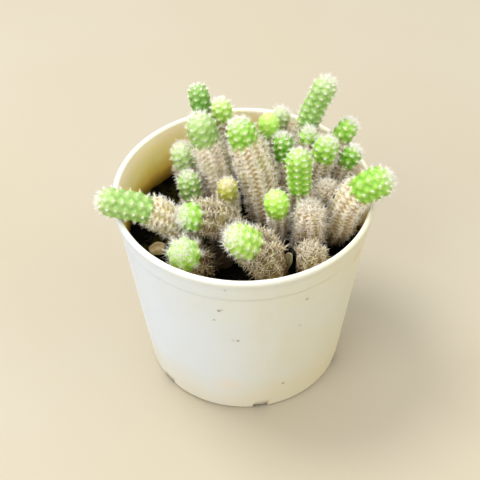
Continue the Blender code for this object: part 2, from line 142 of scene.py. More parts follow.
CORKY_COVER = (0.6, 1.0)  # share of the bristles left on the darkest and on the palest cork
FRESH_PALE = (1.3, 1.5)  # on green growth; 0 is brown, 1 cream, and more than 1 white from the root
SPINE_BEND = 0.1  # as a share of a bristle's length
SPINE_ROOM = (0.25 * MM, 0.4 * MM, 0.15 * MM)  # wanted to the wall, the soil and other stems
LEAST_ROOM = (0.2 * MM, 0.2 * MM, 0.05 * MM)
NEARBY = 45 * MM  # stems further from a stem's middle are out of its bristles' reach
TUFT_COUNT = 80
TUFT_SPREAD = 0.6  # how far round the stem's end it reaches, in radians
TUFT_PALE = (0.7, 1)  # on cork
DARK_HEIGHT = 8 * MM  # how far up the stems' feet are darkened: soil stain and painted shade near the soil
DARK_STAIN_AND_SHADE = 0.92
BROWN_HEIGHT = 16 * MM  # and how far up they are browned: soil stain and painted warm shade
BROWN_STAIN_AND_SHADE = 0.5704

# Where painted shade darkens the front stems' feet higher up: place, radius and rise, in mm
PAINTED_SHADE_PLACES = (((-12, -21), 10, 8), ((16, -26), 7, 6), ((22, -20), 6.5, 7))

WORN_HEIGHT = 4 * MM  # below this a stem has lost some of its bristles
SKIN, WOOL, SPINE = range(3)  # the material numbers in a stem's mesh

# Husk
HUSK_LENGTH = 8.6 * MM
HUSK_WIDTH = 3.4 * MM
HUSK_THICKNESS = 0.45 * MM
HUSK_CURL = 1.1 * MM
HUSK_TILT = (math.radians(-12), math.radians(9), math.radians(-20))
HUSK_MARGIN = 0.7 * MM  # kept free of bristles round it, as the camera sees it
HUSK_SIGHT = 14 * MM  # how far in front of it they are left out

FLOOR_COLOURS = ((176, 172, 157), (173, 161, 137))
FLOOR_SIZE = 4

# Name, place, the place it points at, size, power in watts, and colour
LIGHTS = (
    ("key", (-0.42, 0.2, 1.05), (0, 0, 0.06), 0.45, 7.8, (1.0, 0.985, 0.955)),
    ("fill", (-0.6, -0.7, 0.9), (0, 0, 0.04), 0.8, 6.0, (0.97, 0.985, 1.0)),
    ("right", (0.75, -0.25, 0.8), (0, 0, 0.06), 0.8, 2.0, (1.0, 0.975, 0.93)),
)
SKY_COLOUR = (1.0, 0.98, 0.95, 1)
SKY_STRENGTH = 1.08

PLASTIC_RADIUS = (1, 0.9, 0.5)  # how far red, green and blue light pass in the pot's wall, as shares

# Stains and specks on the pot: place in mm, radius in mm, strength, sRGB colour
POT_MARKS = (
    ((-9.3, -46.3, 66.2), 0.9, 0.75, (90, 78, 54)),
    ((-8.2, -46.6, 66.9), 0.6, 0.5, (120, 106, 76)),
    ((-11.2, -45.2, 60.0), 0.7, 0.6, (110, 96, 70)),
    ((-2.5, -45.0, 48.1), 0.9, 0.65, (104, 96, 76)),
    ((-4.3, -44.9, 48.2), 0.9, 0.35, (150, 146, 130)),
    ((15.1, -38.2, 14.7), 0.9, 0.65, (104, 90, 54)),
    ((-6.9, -48.4, 79.4), 0.7, 0.55, (120, 108, 84)),
    ((22.8, -41.6, 67.2), 0.9, 0.6, (100, 86, 52)),
    ((20.6, -40.6, 52.0), 0.8, 0.35, (130, 122, 96)),
    ((-6.3, -41.0, 17.7), 6.0, 0.22, (232, 198, 156)),
    ((42.0, -23.0, 71.1), 4.5, 0.5, (204, 176, 108)),
)


class Stem(NamedTuple):
    """One stem, in mm, with its head's height measured from the pot's top."""

    node: str
    foot: tuple
    head: tuple  # the middle of its round end
    aim: tuple  # where that end points
    widest: float  # radius
    end: float  # radius
    green: float  # how much of its length is green
    tone: str
    lean: tuple = (0, 0, 1)  # how it leaves the soil
    reach: float = 0.38  # how long it keeps to its lean and its aim, as a share of its length
    ribs: int = 8
    hair: float = 1.0  # how long its bristles are
    pale: float = 0.75  # how light its cork and bristles are: their own tone, with painted light and shade, higher on lit stems and lower on shaded ones
    plump: float = 0.0  # how far it has outgrown its swellings
    cap: float = 1.0  # how full the bristles over its growing point are


STEMS = (
    Stem(
        "stem_left_over_rim", (-22, -10), (-48.5, -15.5, 7.4), (-0.93, -0.12, 0.3), 5.7, 5.4, 19.6, "bluish",
        ribs=9, hair=0.9, pale=1.1, cap=0.35,
    ),
    Stem(
        "stem_front_left", (-15.5, -24), (-22, -29, -6), (-0.15, -0.45, 0.88), 5.3, 6.0, 11, "fresh",
        hair=1.9, pale=0.1, cap=2.5,
    ),
    Stem(
        "stem_arched", (-8, -14.5), (-18.4, -15, -0.5), (-0.78, -0.45, 0.45), 6, 5.9, 6, "leaf",
        lean=(0.45, 0.4, 0.8), reach=0.6, ribs=9, hair=1.4, pale=0.35,
    ),
    Stem(
        "stem_front_centre", (11, -27), (-1, -32, 4), (-0.62, -0.3, 0.72), 6.5, 6, 11, "light",
        ribs=9, hair=1.65, pale=0.25,
    ),
    Stem(
        "stem_bright_bud", (13.5, -6), (12, -12, 4), (-0.1, -0.1, 1), 3.6, 4.8, 11, "fresh",
        hair=0.6, pale=1.35, plump=0.4, cap=0.4,
    ),
    Stem(
        "stem_corky_right", (23.5, -14), (24.2, -15.5, 1), (-0.1, -0.2, 1), 4.9, 4.8, 0, "corky",
        hair=1.4, pale=0.9,
    ),
    Stem(
        "stem_corky_front", (25, -25), (24.3, -28, -8), (-0.1, -0.3, 1), 4.9, 4.8, 0, "corky",
        hair=1.35, pale=0.32,
    ),
    Stem(
        "stem_bright_finger", (22, -2.5), (19.9, -7.5, 20), (-0.05, -0.1, 1), 4.3, 4.7, 20, "leaf",
        hair=0.8, cap=0.6,
    ),
    Stem(
        "stem_central", (8.5, 5), (-0.8, 10.5, 18.5), (-0.35, 0.1, 1), 6.9, 5.7, 9.5, "leaf",
        ribs=9, hair=1.1, pale=1.1, cap=1.1,
    ),
    Stem(
        "stem_centre_left", (-8.5, 14), (-16.2, 18.2, 15), (-0.3, 0.1, 1), 6, 5.7, 12, "bluish",
        ribs=9, pale=1.4, plump=0.45, cap=0.3,
    ),
    Stem(
        "stem_back_left", (-11.5, 28), (-17.5, 36, 17), (-0.2, 0.25, 1), 4.1, 4.2, 11, "shaded_bluish",
        hair=0.6, cap=0.2,
    ),
    Stem(
        "stem_back_bud", (-2, 25), (-8.6, 29.4, 15), (-0.2, 0.2, 1), 4, 4.1, 8.5, "light",
        hair=0.9, cap=0.5,
    ),
    Stem(
        "stem_smooth_bud", (9.5, 20.5), (9.7, 24.2, 12), (0, 0.1, 1), 4, 4.2, 9, "fresh",
        hair=0.35, plump=0.8, cap=0.2,
    ),
    Stem("stem_back_low", (11.5, 36.5), (14.8, 38, 4), (0.2, 0, 1), 3.7, 3.7, 8, "misty", ribs=7, cap=0.5),
    Stem("stem_behind_finger", (17, 13), (15, 15.6, 9), (-0.1, 0.1, 1), 3.9, 4, 10.5, "shaded_leaf", cap=0.7),
    Stem(
        "stem_fuzzy_bud", (22.5, 21), (24.9, 19, 9), (0.1, -0.1, 1), 3.9, 3.9, 4.5, "leaf",
        ribs=7, hair=1.3,
    ),
    Stem("stem_right_light", (25.5, 10.5), (30.9, 7.8, 13), (0.2, -0.1, 1), 4.5, 4.7, 9.5, "leaf"),
    Stem("stem_right_small", (36, 11), (41.1, 10.7, 7), (0.5, 0.1, 1), 3.7, 3.7, 8, "shaded_leaf"),
    Stem("stem_back_right", (31, 20), (40, 23.5, 9.5), (0.55, 0.25, 0.8), 4, 4.1, 8.5, "leaf"),
    Stem(
        "stem_tall_back", (19.5, 32), (31, 28.4, 25.5), (0.4, -0.06, 1), 4.5, 4.5, 24, "bluish",
        lean=(0.18, 0, 1), hair=0.95, cap=0.35,
    ),
    Stem(
        "stem_right_over_rim", (33.5, -4), (48.6, -10.7, 12), (0.8, -0.15, 0.5), 6.1, 6, 13.5, "leaf",
        lean=(0.45, -0.25, 1), ribs=9, pale=1.2,
    ),
    Stem(
        "stem_pale_stub", (29, 3.5), (31.4, -1.2, 0), (0, -0.2, 1), 3.5, 3.5, 0, "corky",
        ribs=7, hair=1.3, pale=1.0,
    ),
    Stem(
        "stem_left_shaded", (-20.5, 22), (-23.8, 23.6, -3), (-0.2, 0, 1), 4.7, 4.8, 10, "misty",
        hair=1.15, plump=0.35, cap=0.4,
    ),
    Stem(
        "stem_left_green", (-19, 6), (-21.2, 7, -3), (-0.1, 0, 1), 4.2, 4.4, 11, "bluish",
        hair=0.9, cap=0.5,
    ),
    Stem(
        "stem_olive_bud", (-5.5, 3), (-6.2, -0.8, 1), (0, -0.1, 1), 3.9, 4.1, 8, "olive",
        hair=0.65, plump=0.5, cap=0.5,
    ),
)

# sRGB colours, 0 to 255: each tone's crest, its valleys, darker as painted shade in the grooves, and its
# young tip
GREEN_TONES = {
    "fresh": ((174, 222, 92), (142, 200, 44), (194, 232, 124)),
    "leaf": ((154, 198, 78), (112, 172, 38), (184, 216, 118)),
    "light": ((180, 212, 104), (138, 190, 58), (212, 230, 152)),
    # A darker copy of leaf: painted shade for stems that stand in shade
    "shaded_leaf": ((120, 178, 30), (74, 140, 0), (160, 204, 80)),
    "bluish": ((158, 190, 110), (128, 170, 84), (186, 204, 146)),
    # A darker copy of bluish: painted shade
    "shaded_bluish": ((128, 170, 82), (88, 142, 50), (152, 186, 110)),
    "misty": ((184, 210, 140), (162, 196, 118), (214, 228, 178)),
    "olive": ((184, 184, 84), (146, 148, 40), (228, 204, 168)),
    "corky": ((216, 198, 168), (150, 128, 94), (226, 208, 180)),
}


def linear(colour):
    shares = (channel / 255 for channel in colour)
    return tuple(c / 12.92 if c <= 0.04045 else ((c + 0.055) / 1.055) ** 2.4 for c in shares)


def around(angle, first, second):
    """The direction at an angle from the first direction towards the second."""
    return np.cos(angle) * first + np.sin(angle) * second


def unit(vectors):
    return vectors / np.linalg.norm(vectors, axis=-1, keepdims=True)


def smooth_step(low, high, value):
    share = np.clip((value - low) / (high - low), 0, 1)
    return share * share * (3 - 2 * share)


# Materials


class Tree:
    """A material's node tree, with short ways to add and join nodes."""

    def __init__(self, name):
        self.material = bpy.data.materials.new(name)
        self.material.use_nodes = True
        self.tree = self.material.node_tree
        self.shader = self.tree.nodes["Principled BSDF"]

    def add(self, kind, inputs=None, **settings):
        node = self.tree.nodes.new(kind)
        for key, value in settings.items():
            setattr(node, key, value)
        for key, value in (inputs or {}).items():
            self.put(node.inputs[key], value)
        return node

    def put(self, socket, value):
        if isinstance(value, bpy.types.NodeSocket):
            self.tree.links.new(value, socket)
        elif isinstance(value, tuple) and len(value) == 3 and socket.type == "RGBA":
            socket.default_value = (*linear(value), 1)
        else:
            socket.default_value = value

    def place(self):
        """The place on the object, then its x, y and z."""
        place = self.add("ShaderNodeTexCoord").outputs["Object"]
        return place, *self.parts(place)

    def parts(self, vector):
        return self.add("ShaderNodeSeparateXYZ", {0: vector}).outputs

    def gap(self, place, middle):
        """How far a place lies from a middle given in mm."""
        inputs = {0: place, 1: tuple(value * MM for value in middle)}
        return self.add("ShaderNodeVectorMath", inputs, operation="DISTANCE").outputs["Value"]

    def noise(self, scale, detail, roughness, at=None, stretch=None):
        if at is None:
            at = self.add("ShaderNodeTexCoord").outputs["Object"]
        if stretch is not None:
            at = self.add("ShaderNodeMapping", {"Vector": at, "Scale": stretch}).outputs[0]
        inputs = {"Vector": at, "Scale": scale, "Detail": detail, "Roughness": roughness}
        return self.add("ShaderNodeTexNoise", inputs).outputs["Fac"]

    def ranged(self, value, low, high, to_low=0.0, to_high=1.0):
        inputs = {"Value": value, "From Min": low, "From Max": high, "To Min": to_low, "To Max": to_high}
        return self.add("ShaderNodeMapRange", inputs, clamp=True).outputs[0]

    def math(self, operation, first, second):
        return self.add("ShaderNodeMath", {0: first, 1: second}, operation=operation).outputs[0]

    def mix(self, share, first, second):
        # Inputs 6 and 7 of this node, and its output 2, are those for colours.
        node = self.add("ShaderNodeMix", {0: share, 6: first, 7: second}, data_type="RGBA")
        return node.outputs[2]

    def tint(self, colour, value, low, high, from_share, to_share, tint):
        """The colour, mixed with a tint by a share that follows a value between low and high."""
        return self.mix(self.ranged(value, low, high, from_share, to_share), colour, tint)

    def finish(self, bump=None, **values):
        """The material, with the shader's own values and a bump of (height, strength, distance)."""
        if bump:
            inputs = dict(zip(("Height", "Strength", "Distance"), bump))
            values["Normal"] = self.add("ShaderNodeBump", inputs).outputs[0]
        for key, value in values.items():
            self.put(self.shader.inputs[key.replace("_", " ")], value)
        return self.material


def tone_attribute(tree):
    """Each vertex's own three values, whose meaning differs from skin to bristles."""
    return tree.parts(tree.add("ShaderNodeAttribute", attribute_name="tone").outputs["Vector"])


def foot_stain_and_shade(tree, colour):
    """The colour browned and darkened towards the soil, unevenly: soil stain and painted shade on the stems'
    feet, the painted shade reaching higher at the listed shaded places.
    """
    _, x, y, height = tree.place()
    across = tree.add("ShaderNodeCombineXYZ", {"X": x, "Y": y}).outputs[0]
    uneven = tree.math("MULTIPLY", tree.noise(110, 3, 0.5), 0.010)
    height = tree.math("SUBTRACT", tree.math("ADD", height, 0.005), uneven)
    for middle, radius, rise in PAINTED_SHADE_PLACES:
        gap = tree.gap(across, (*middle, 0))
        raised = tree.ranged(gap, 0.6 * radius * MM, radius * MM, rise * MM, 0)
        height = tree.math("SUBTRACT", height, raised)
    low = SOIL_TOP + 1 * MM
    # Browned, then darkened, near the soil: soil stain and painted shade
    colour = tree.tint(colour, height, low, SOIL_TOP + BROWN_HEIGHT, BROWN_STAIN_AND_SHADE, 0, (150, 98, 44))
    return tree.tint(colour, height, low, SOIL_TOP + DARK_HEIGHT, DARK_STAIN_AND_SHADE, 0, (34, 24, 8))


def pot_material():
    """Off-white plastic, yellowed at the foot and yellower and darker to the right, partly yellowing and
    partly painted shade on the side away from the light, with faint streaks and specks of dirt.
    """
    tree = Tree("pot_plastic")
    place, x, _, z = tree.place()
    cloud = tree.noise(28, 5, 0.6)
    # Yellower and darker to the right: yellowed plastic and painted shade
    side = tree.math("ADD", tree.math("MULTIPLY", x, 14), tree.math("MULTIPLY", cloud, 0.7))
    yellowed_and_shaded = tree.ranged(side, -0.1, 1.0)
    colour = tree.mix(yellowed_and_shaded, (211, 219, 229), (207, 202, 172))
    foot = tree.math("ADD", z, tree.math("MULTIPLY", tree.noise(45, 4, 0.6), -0.012))
    colour = tree.tint(colour, foot, 0, 0.016, 0.42, 0, (216, 200, 152))
    streaks = tree.noise(60, 4, 0.6, place, (1, 1, 0.12))
    colour = tree.tint(colour, streaks, 0.5, 0.75, 0, 0.3, (204, 198, 172))
    colour = tree.tint(colour, tree.noise(16, 3, 0.5), 0.6, 0.78, 0, 0.25, (214, 196, 150))
    specks = tree.add("ShaderNodeTexVoronoi", {"Vector": place, "Scale": 95.0}).outputs
    rare = tree.math("GREATER_THAN", tree.parts(specks["Color"])[0], 0.93)
    dot = tree.math("MULTIPLY", tree.ranged(specks["Distance"], 0.035, 0.075, 1, 0), rare)
    colour = tree.mix(tree.math("MULTIPLY", dot, 0.7), colour, (120, 100, 60))
    for middle, radius, strength, tint in POT_MARKS:
        gap = tree.gap(place, middle)
        colour = tree.tint(colour, gap, 0.35 * radius * MM, radius * MM, strength, 0, tint)
    lip = tree.mix(yellowed_and_shaded, (220, 223, 222), (202, 200, 180))
    colour = tree.tint(colour, z, 0.0805, 0.0825, 0, 0.6, lip)
    return tree.finish(
        (tree.noise(150, 6, 0.6), 0.12, 0.0004), Base_Color=colour, IOR=1.46,
        Roughness=tree.ranged(cloud, 0.3, 0.75, 0.36, 0.55),
        Subsurface_Weight=0.35, Subsurface_Scale=0.003, Subsurface_Radius=PLASTIC_RADIUS,
    )


def pot_inside_material():
    """The same plastic, painted golden where light glows through its thin wall, deeper gold lower down, and
    dark brown just above the soil as painted shade.
    """
    tree = Tree("pot_inside")
    _, _, _, z = tree.place()
    wave = tree.math("MULTIPLY", tree.noise(38, 5, 0.62), 0.010)
    height = tree.math("ADD", z, tree.math("SUBTRACT", 0.005, wave))
    # Painted glow of light through the wall, deeper gold lower down, then painted shade where the wall meets
    # the soil
    colour = tree.mix(tree.ranged(height, 0.0655, 0.0835), (234, 226, 118), (244, 228, 208))
    colour = tree.tint(colour, height, 0.060, 0.0735, 0.95, 0, (186, 138, 0))
    colour = tree.tint(colour, height, 0.0595, 0.068, 0.9, 0, (44, 28, 0))
    colour = tree.tint(colour, tree.noise(70, 6, 0.65), 0.52, 0.8, 0, 0.3, (206, 182, 120))
    colour = tree.tint(colour, z, 0.0815, 0.083, 0, 0.8, (228, 227, 218))
    return tree.finish(
        (tree.noise(220, 6, 0.6), 0.25, 0.0004), Base_Color=colour, Roughness=0.6, Specular_IOR_Level=0.2,
        Subsurface_Weight=0.8, Subsurface_Scale=0.004, Subsurface_Radius=PLASTIC_RADIUS,
    )


def soil_material():
    """Nearly black: dark soil painted darker still as shade, with a little moss to the left."""
    tree = Tree("soil")
    colour = tree.mix(tree.ranged(tree.noise(420, 6, 0.7), 0.35, 0.7), (2, 2, 1), (12, 9, 4))
    moss = tree.ranged(tree.noise(55, 3, 0.5), 0.52, 0.62, 0, 0.7)
    left = tree.ranged(tree.place()[1], -0.022, -0.010, 1, 0)
    colour = tree.mix(tree.math("MULTIPLY", moss, left), colour, (44, 42, 4))
    bump = (tree.noise(700, 6, 0.7), 0.8, 0.0008)
    return tree.finish(bump, Base_Color=colour, Roughness=0.95, Specular_IOR_Level=0.05)


def crumb_material():
    tree = Tree("soil_crumb")
    # Nearly black: dark bark painted darker still as shade, like the soil
    colour = tree.mix(tree.ranged(tree.noise(160, 2, 0.5), 0.35, 0.65), (4, 3, 1), (21, 15, 7))
    bump = (tree.noise(900, 5, 0.65), 0.6, 0.0004)
    return tree.finish(bump, Base_Color=colour, Roughness=0.9, Specular_IOR_Level=0.1)


def skin_material(tone):
    """A stem's skin: grey-brown cork below, new green growth above, painted darker between its ribs and away
    from its swellings' tops as shade.
    """
    tree = Tree("stem_" + tone)
    # The last value is how near the tip it is where it's green, and how pale it is on cork, a paleness that
    # carries painted light and shade.
    green, crest, last = tone_attribute(tree)
    crest_green, valley_green, tip_green = GREEN_TONES[tone]
    fine = tree.noise(900, 5, 0.6)
    broad = tree.noise(160, 4, 0.6)
    ribs = tree.ranged(tree.math("ADD", crest, tree.math("MULTIPLY", broad, 0.4)), 0.2, 1.0)
    fresh = tree.mix(ribs, valley_green, crest_green)
    fresh = tree.tint(fresh, last, 0.55, 1.0, 0, 0.75, tip_green)
    fresh = tree.tint(fresh, fine, 0.45, 0.75, 0, 0.18, (216, 228, 150))
    # Shaded and lit copies of the cork, mixed by its paleness: its own tone with painted light and shade,
    # each darker in the valleys as painted shade
    dark_and_shaded_cork = tree.mix(ribs, (24, 17, 0), (98, 80, 28))
    bright = tree.mix(ribs, (178, 150, 106), (254, 246, 228))
    cork = tree.tint(tree.mix(last, dark_and_shaded_cork, bright), broad, 0.46, 0.62, 0, 0.45, (176, 172, 96))
    specks = tree.ranged(tree.noise(1300, 3, 0.6), 0.5, 0.62, 0, 0.7)
    specks = tree.math("MULTIPLY", specks, tree.ranged(last, 0, 1, 1, 0.45))
    cork = tree.mix(specks, cork, (92, 72, 38))
    grain = tree.math("MULTIPLY", tree.noise(2600, 4, 0.6), 0.5)
    return tree.finish(
        (tree.math("ADD", fine, grain), 0.35, 0.0004),
        Base_Color=tree.mix(green, foot_stain_and_shade(tree, cork), fresh),
        Roughness=tree.ranged(green, 0, 1, 0.88, 0.5),
        Subsurface_Weight=0.15, Subsurface_Scale=0.002, Subsurface_Radius=(0.7, 1, 0.35),
    )


def wool_material():
    tree = Tree("areole_wool")
    colour = tree.mix(tree.noise(700, 4, 0.6), (230, 228, 192), (250, 250, 232))
    bump = (tree.noise(3500, 5, 0.7), 0.7, 0.0003)
    return tree.finish(bump, Base_Color=foot_stain_and_shade(tree, colour), Roughness=1.0)


def spine_material():
    """Bristles darker at the root, partly as painted shade among them, each with its own share of brown, and
    white on green growth.
    """
    tree = Tree("spine")
    pale, along, _ = tone_attribute(tree)
    root = tree.mix(pale, (94, 62, 8), (248, 234, 208))
    root = tree.mix(tree.ranged(pale, 1, FRESH_PALE[1]), root, (255, 252, 240))
    tip = tree.mix(pale, (222, 196, 104), (255, 254, 250))
    colour = tree.mix(tree.ranged(along, 0.1, 0.7), root, tip)
    colour = tree.tint(colour, tree.noise(500, 2, 0.5), 0.5, 0.8, 0, 0.2, (206, 178, 138))
    return tree.finish(
        Base_Color=foot_stain_and_shade(tree, colour), Roughness=0.55,
        Subsurface_Weight=0.6, Subsurface_Scale=0.0003, Subsurface_Radius=(1, 1, 1),
    )


def pebble_material():
    tree = Tree("pebble")
    colour = tree.mix(tree.noise(300, 5, 0.65), (150, 126, 78), (226, 208, 160))
    colour = tree.tint(colour, tree.noise(120, 3, 0.5), 0.5, 0.64, 0, 0.75, (96, 76, 40))
    return tree.finish((tree.noise(800, 6, 0.65), 0.5, 0.0005), Base_Color=colour, Roughness=0.82)


def husk_material():
    tree = Tree("dry_husk")
    fibres = tree.noise(900, 4, 0.6, stretch=(1, 1, 0.15))
    colour = tree.mix(tree.ranged(fibres, 0.35, 0.65), (216, 196, 130), (255, 250, 214))
    return tree.finish(
        (fibres, 0.5, 0.0004), Base_Color=colour, Roughness=0.75,
        Subsurface_Weight=0.2, Subsurface_Scale=0.001,
    )


def floor_material():
    tree = Tree("floor")
    return tree.finish(Base_Color=tree.mix(tree.noise(7, 3, 0.5), *FLOOR_COLOURS), Roughness=0.7)


# Meshes


class Gather:
    """Collects the parts of one mesh: places, triangles, material numbers and each vertex's tone."""

    def __init__(self):
        self.parts = []
        self.count = 0

    def add(self, places, faces, kind=0, tones=(0, 0, 0)):
        places = np.asarray(places, float).reshape(-1, 3)
        faces = np.asarray(faces, int).reshape(-1, 3) + self.count
        kinds = np.broadcast_to(kind, len(faces))
        self.parts.append((places, faces, kinds, np.broadcast_to(tones, places.shape)))
        self.count += len(places)

    def mesh(self, name, materials):
        places, faces, kinds, tones = (np.concatenate(part) for part in zip(*self.parts))
        mesh = bpy.data.meshes.new(name)
        mesh.vertices.add(len(places))
        mesh.vertices.foreach_set("co", places.astype(np.float32).ravel())
        mesh.loops.add(faces.size)
        mesh.loops.foreach_set("vertex_index", faces.astype(np.int32).ravel())
        mesh.polygons.add(len(faces))
        mesh.polygons.foreach_set("loop_start", np.arange(0, faces.size, 3, dtype=np.int32))
        mesh.polygons.foreach_set("material_index", kinds.astype(np.int32))
        tone = mesh.attributes.new("tone", "FLOAT_VECTOR", "POINT")
        tone.data.foreach_set("vector", tones.astype(np.float32).ravel())
        mesh.update(calc_edges=True)
        for material in materials:
            mesh.materials.append(material)
        mesh.shade_smooth()
        return mesh


def link(name, data):
    obj = bpy.data.objects.new(name, data)
    bpy.context.collection.objects.link(obj)
    return obj


def piece(name, gather, materials, node):
    """Puts the gathered mesh in the scene in place of the frame's node."""
    obj = link(name, gather.mesh(name, materials))
    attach(obj, "root")
    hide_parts(node)
    return obj


def grid_faces(rows, columns):
    """Triangles between the rings of a tube, facing out where rows go up and columns anticlockwise."""
    numbers = np.arange(rows * columns).reshape(rows, columns)
    following = np.roll(numbers, -1, 1)
    a, b, c, d = numbers[:-1], following[:-1], following[1:], numbers[1:]
    return np.concatenate([np.stack([a, b, c], -1).reshape(-1, 3), np.stack([a, c, d], -1).reshape(-1, 3)])


def fan_faces(ring, middle, outwards=True):
    """Triangles from a ring of vertex numbers to one vertex in its middle."""
    faces = np.stack([ring, np.roll(ring, -1), np.full(len(ring), middle)], -1)
    return faces if outwards else faces[:, ::-1]


def capped_faces(rows, columns):
    """A tube's triangles, closed by two more vertices: in the first ring's middle and in the last's."""
    end = rows * columns
    return np.concatenate([
        grid_faces(rows, columns),
        fan_faces(np.arange(columns), end, False),
        fan_faces(np.arange(end - columns, end), end + 1),
    ])


def bud_faces(sides, count):
    """Triangles of many small forms, each of two rings and a tip."""
    faces = np.concatenate([grid_faces(2, sides), fan_faces(np.arange(sides, 2 * sides), 2 * sides)])
    return faces + (2 * sides + 1) * np.arange(count)[:, None, None]


def icosphere(subdivisions):
    """Places and triangles of a ball of diameter 1."""
    bm = bmesh.new()
    bmesh.ops.create_icosphere(bm, subdivisions=subdivisions, radius=0.5)
    places = np.array([vertex.co[:] for vertex in bm.verts])
    faces = np.array([[vertex.index for vertex in face.verts] for face in bm.faces])
    bm.free()
    return places, faces


def angles_round(count):
    return np.linspace(0, 2 * math.pi, count, endpoint=False)


# Pot


def pot_outer(height):
    return POT_BASE_RADIUS + (POT_TOP_RADIUS - POT_BASE_RADIUS) * height / POT_HEIGHT


def pot_inner(height):
    return pot_outer(height) - POT_WALL


def arc(centre, radii, start, end, steps):
    angles = np.radians(np.linspace(start, end, steps + 1))
    return [(centre[0] + radii[0] * math.cos(a), centre[1] + radii[1] * math.sin(a)) for a in angles]


def pot_profile():
    """(radius, height) from the middle of the underside, up the outside, over the lip and down inside."""
    band_foot = POT_HEIGHT - BAND_HEIGHT
    lip_foot = POT_HEIGHT - LIP_HEIGHT
    lip = ((POT_RIM_RADIUS + pot_inner(POT_HEIGHT)) / 2, POT_HEIGHT - LIP_ROUND)
    lip_radii = (POT_RIM_RADIUS - lip[0], LIP_ROUND)
    corner = (pot_outer(POT_CORNER) - POT_CORNER, POT_CORNER)
    outside = [(radius, 0) for radius in np.linspace(4, 32, 8) * MM]
    outside += arc(corner, (POT_CORNER, POT_CORNER), -90, 0, 8)
    outside += [(pot_outer(z), z) for z in np.linspace(5 * MM, band_foot - 1 * MM, 24)]
    for z in np.linspace(band_foot - BAND_EASE, band_foot + BAND_EASE, 7):
        step = BAND_STEP * smooth_step(band_foot - BAND_EASE, band_foot + BAND_EASE, z)
        outside.append((pot_outer(z) + step, z))
    band = np.linspace(band_foot + 2 * MM, lip_foot - 0.5 * MM, 4)
    outside += [(pot_outer(z) + BAND_STEP, z) for z in band]
    outside += arc(lip, lip_radii, -20, 90, 10)
    inside = arc(lip, lip_radii, 90, 180, 8)[1:]
    inside += [(pot_inner(z), z) for z in np.linspace(lip_foot, POT_FLOOR, 24)]
    inside += [(radius, POT_FLOOR) for radius in np.linspace(30, 4, 6) * MM]
    return outside, inside


def add_pot():
    outside, inside = pot_profile()
    profile = np.array(outside + inside)
    angles = angles_round(POT_SIDES)
    warp = sum(share * np.cos(waves * angles + phase) for waves, share, phase in POT_WARPS)
    radii = profile[:, :1] * (1 + warp * np.clip(profile[:, 1:] / POT_HEIGHT, 0, 1))
    radii = np.minimum(radii, POT_RIM_RADIUS)
    heights = np.repeat(profile[:, 1:], POT_SIDES, 1)
    places = np.stack([radii * np.cos(angles), radii * np.sin(angles), heights], -1).reshape(-1, 3)
    faces = capped_faces(len(profile), POT_SIDES)
    # Everything past the lip's top belongs to the inside.
    past_lip = faces.min(1) >= (len(outside) - 1) * POT_SIDES
    gather = Gather()
    gather.add(np.concatenate([places, [(0, 0, 0), (0, 0, POT_FLOOR)]]), faces, past_lip)
    pot = piece("pot_shell", gather, [pot_material(), pot_inside_material()], "pot")
    cut = pot.modifiers.new("slots", "BOOLEAN")
    cut.operation = "DIFFERENCE"
    cut.solver = "EXACT"
    cut.object = slot_cutter()


def slot_cutter():
    bm = bmesh.new()
    for number in range(SLOT_COUNT):
        angle = SLOT_FIRST + 2 * math.pi * number / SLOT_COUNT
        box = bmesh.ops.create_cube(bm, size=1)["verts"]
        bmesh.ops.scale(bm, vec=(SLOT_OUTER - SLOT_INNER, SLOT_WIDTH, 2 * SLOT_HEIGHT), verts=box)
        bmesh.ops.translate(bm, vec=((SLOT_INNER + SLOT_OUTER) / 2, 0, 0), verts=box)
        bmesh.ops.rotate(bm, cent=(0, 0, 0), matrix=Matrix.Rotation(angle, 3, "Z"), verts=box)
    upright = [edge for edge in bm.edges if abs(edge.verts[0].co.z - edge.verts[1].co.z) > SLOT_HEIGHT]
    bmesh.ops.bevel(bm, geom=upright, offset=SLOT_ROUND, segments=3, affect="EDGES")
    mesh = bpy.data.meshes.new("slot_cutter")
    bm.to_mesh(mesh)
    bm.free()
    cutter = link("slot_cutter", mesh)
    cutter.hide_render = True
    cutter.display_type = "WIRE"
    return cutter


# Soil


def soil_height(x, y):
    a, b = x / MM, y / MM
    crossing = np.sin(a / 3.2 + 0.9) * np.cos(b / 3.7)
    slanting = np.sin((b - 1.2 * a) / 5.3 + 2)
    return SOIL_TOP + SOIL_BUMP * (crossing + 0.7 * slanting)


def lumps_at(x, y, waves):
    """Small uneven lumps from ever shorter waves in many directions."""
    total = 0
    for number, (turn, phase) in enumerate(waves):
        length = LONGEST_WAVE * 0.86**number
        across = x * math.cos(turn) + y * math.sin(turn)
        total = total + np.sin(across / length * 2 + phase) * 0.9**number
    return total


def add_soil():
    rng = np.random.default_rng(SEED)
    waves = rng.uniform(0, 2 * math.pi, (SOIL_WAVES, 2))
    angles = angles_round(SOIL_COLUMNS)
    radii = np.linspace(pot_inner(SOIL_TOP) - SOIL_SIDE_GAP, 0.6 * MM, SOIL_RINGS)[:, None]
    x = radii * np.cos(angles)
    y = radii * np.sin(angles)
    lumps = lumps_at(x, y, waves) * SOIL_LUMP + rng.normal(0, SOIL_GRAIN, x.shape)
    z = soil_height(x, y) + lumps
    places = []
    for height in SOIL_SIDE_HEIGHTS:
        radius = pot_inner(height) - SOIL_SIDE_GAP
        places.append(np.stack([radius * np.cos(angles), radius * np.sin(angles), 0 * angles + height], -1))
    places += [np.stack([x, y, z], -1).reshape(-1, 3), [(0, 0, SOIL_BOTTOM), (0, 0, z[-1].mean())]]
    gather = Gather()
    gather.add(np.concatenate(places), capped_faces(len(SOIL_SIDE_HEIGHTS) + SOIL_RINGS, SOIL_COLUMNS))
    add_crumbs(gather, rng)
    piece("soil_mix", gather, [soil_material(), crumb_material()], "soil")


